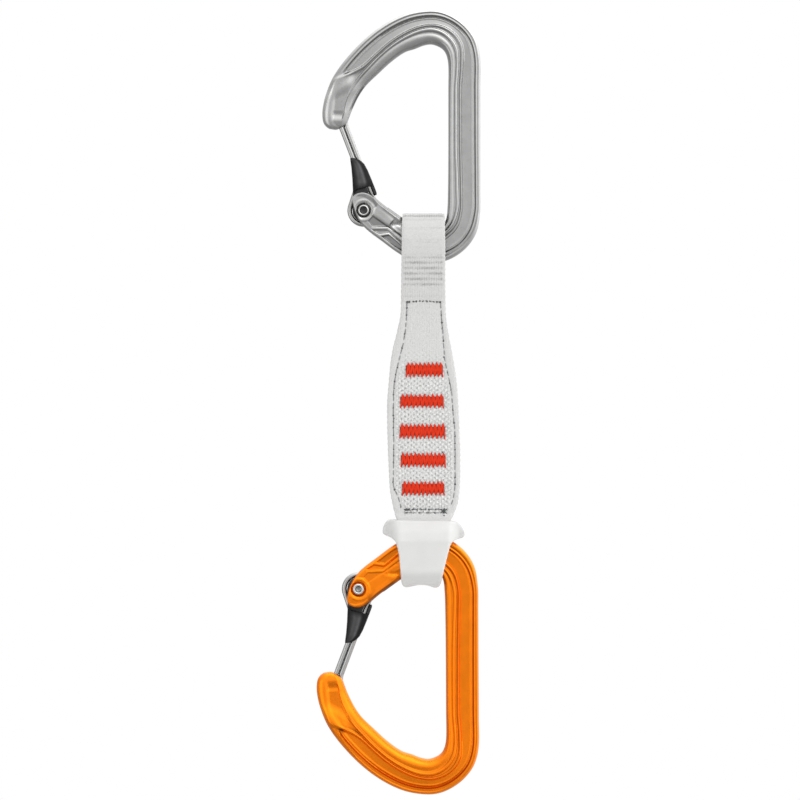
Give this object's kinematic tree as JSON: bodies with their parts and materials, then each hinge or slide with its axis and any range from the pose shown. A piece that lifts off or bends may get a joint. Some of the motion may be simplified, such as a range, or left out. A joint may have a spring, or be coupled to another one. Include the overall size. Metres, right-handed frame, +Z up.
{
  "type": "climbing quickdraw",
  "caption": "Climbing quickdraw: two wire-gate carabiners, silver above and orange below, joined by a sewn webbing sling with a rubber keeper.",
  "frame": {"origin": "the hanger seat: the top of the inside of the upper carabiner's top bend, on the mid-plane of its thickness", "axes": "+Z is up, as it hangs, with the long way of the sling. +X points from the gates to the spines. +Y is the thickness of the carabiners, and the pictured side faces -Y"},
  "size_m": [0.059, 0.0198, 0.2822],
  "materials": {
    "silver": "fine bead-blasted anodised silver, satin",
    "orange": "orange anodised aluminium, satin",
    "wire": "bright drawn stainless wire",
    "rivet": "bright stainless rivet with turned ends",
    "sleeve": "black moulded nylon, satin",
    "webbing": "woven light grey nylon tape",
    "core": "woven light grey nylon tape",
    "tack_thread": "red-orange sewing thread, dense zigzag",
    "edge_thread": "dark grey sewing thread",
    "keeper": "milky translucent moulded rubber"
  },
  "bodies": {
    "upper_carabiner": {"upper_frame": "silver", "upper_gate_rivet": "rivet", "upper_return_spring": "wire"},
    "upper_gate": {"upper_gate_wire": "wire", "upper_gate_sleeve": "sleeve"},
    "sling_head": {"upper_loop_webbing": "webbing", "upper_stitching": "edge_thread"},
    "sling_body": {"body_webbing": "webbing", "sling_core": "core", "bar_tack_1": "tack_thread", "bar_tack_2": "tack_thread", "bar_tack_3": "tack_thread", "bar_tack_4": "tack_thread", "bar_tack_5": "tack_thread", "edge_stitching": "edge_thread", "lower_stitching": "edge_thread", "keeper": "keeper"},
    "lower_carabiner": {"lower_frame": "orange", "lower_gate_rivet": "rivet", "lower_return_spring": "wire"},
    "lower_gate": {"lower_gate_wire": "wire", "lower_gate_sleeve": "sleeve"}
  },
  "joints": [
    {"name": "upper_gate_hinge", "type": "hinge", "parent": "upper_carabiner", "child": "upper_gate", "pos_m": [-0.0239, 0, -0.0598], "axis": [0, 1, 0], "range_deg": [0, 50], "stiffness_Nm_per_rad": 0.12, "springref_deg": -28.65, "deforming": ["upper_return_spring"]},
    {"name": "sling_swing", "type": "hinge", "parent": "upper_carabiner", "child": "sling_head", "pos_m": [-0.0024, 0, -0.0706], "axis": [1, 0, 0], "range_deg": [-120, 120]},
    {"name": "sling_flex", "type": "hinge", "parent": "sling_head", "child": "sling_body", "pos_m": [-0.0024, 0, -0.1048], "axis": [1, 0, 0], "range_deg": [-45, 45], "stiffness_Nm_per_rad": 0.01},
    {"name": "lower_swing", "type": "hinge", "parent": "sling_body", "child": "lower_carabiner", "pos_m": [-0.0044, 0, -0.18415], "axis": [1, 0, 0], "range_deg": [-25, 25]},
    {"name": "lower_gate_hinge", "type": "hinge", "parent": "lower_carabiner", "child": "lower_gate", "pos_m": [-0.02574, 0, -0.19597], "axis": [0, -1, 0], "range_deg": [0, 50], "stiffness_Nm_per_rad": 0.12, "springref_deg": -28.65, "deforming": ["lower_return_spring"]}
  ]
}
